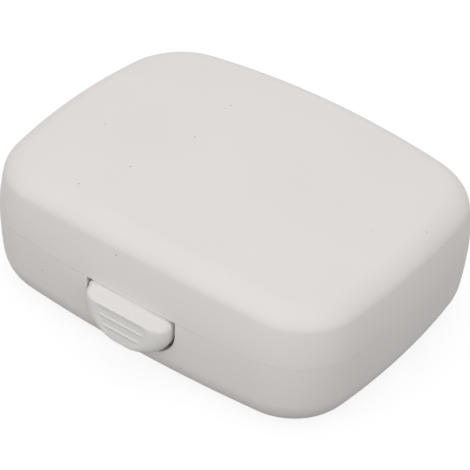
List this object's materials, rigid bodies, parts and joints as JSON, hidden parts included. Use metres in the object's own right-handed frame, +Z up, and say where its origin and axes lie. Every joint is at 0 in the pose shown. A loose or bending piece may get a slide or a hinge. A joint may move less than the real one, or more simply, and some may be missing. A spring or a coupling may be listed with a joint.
{
  "type": "hearing aid case",
  "caption": "Small hard clamshell case with a domed hinged lid, a sprung press latch in the front wall and foam wells that hold a pair of hearing aids.",
  "frame": {"origin": "middle of the flat bottom face", "axes": "+X along the long side, +Z up, -Y towards the front, where the latch is"},
  "size_m": [0.085, 0.0721, 0.031],
  "materials": {
    "shell": "fine satin moulded plastic, warm light grey",
    "latch": "satin moulded plastic, warm light grey",
    "foam": "dark closed-cell foam",
    "steel": "drawn steel"
  },
  "bodies": {
    "base": {"base_shell": "shell", "base_foam_sheet": "foam", "base_foam_insert": "foam", "hinge_pin": "steel", "latch_pins": "steel", "latch_spring": "steel"},
    "lid": {"lid_shell": "shell", "lid_foam_pad": "foam"},
    "latch": {"latch_button": "latch"}
  },
  "joints": [
    {"name": "lid_hinge", "type": "hinge", "parent": "base", "child": "lid", "pos_m": [0, 0.03365, 0.016], "axis": [-1, 0, 0], "range_deg": [0, 100]},
    {"name": "latch_press", "type": "hinge", "parent": "base", "child": "latch", "pos_m": [0, -0.02795, 0.00702], "axis": [-1, 0, 0], "range_deg": [0, 4], "stiffness_Nm_per_rad": 0.031, "springref_deg": -8.59, "deforming": ["latch_spring"]}
  ]
}
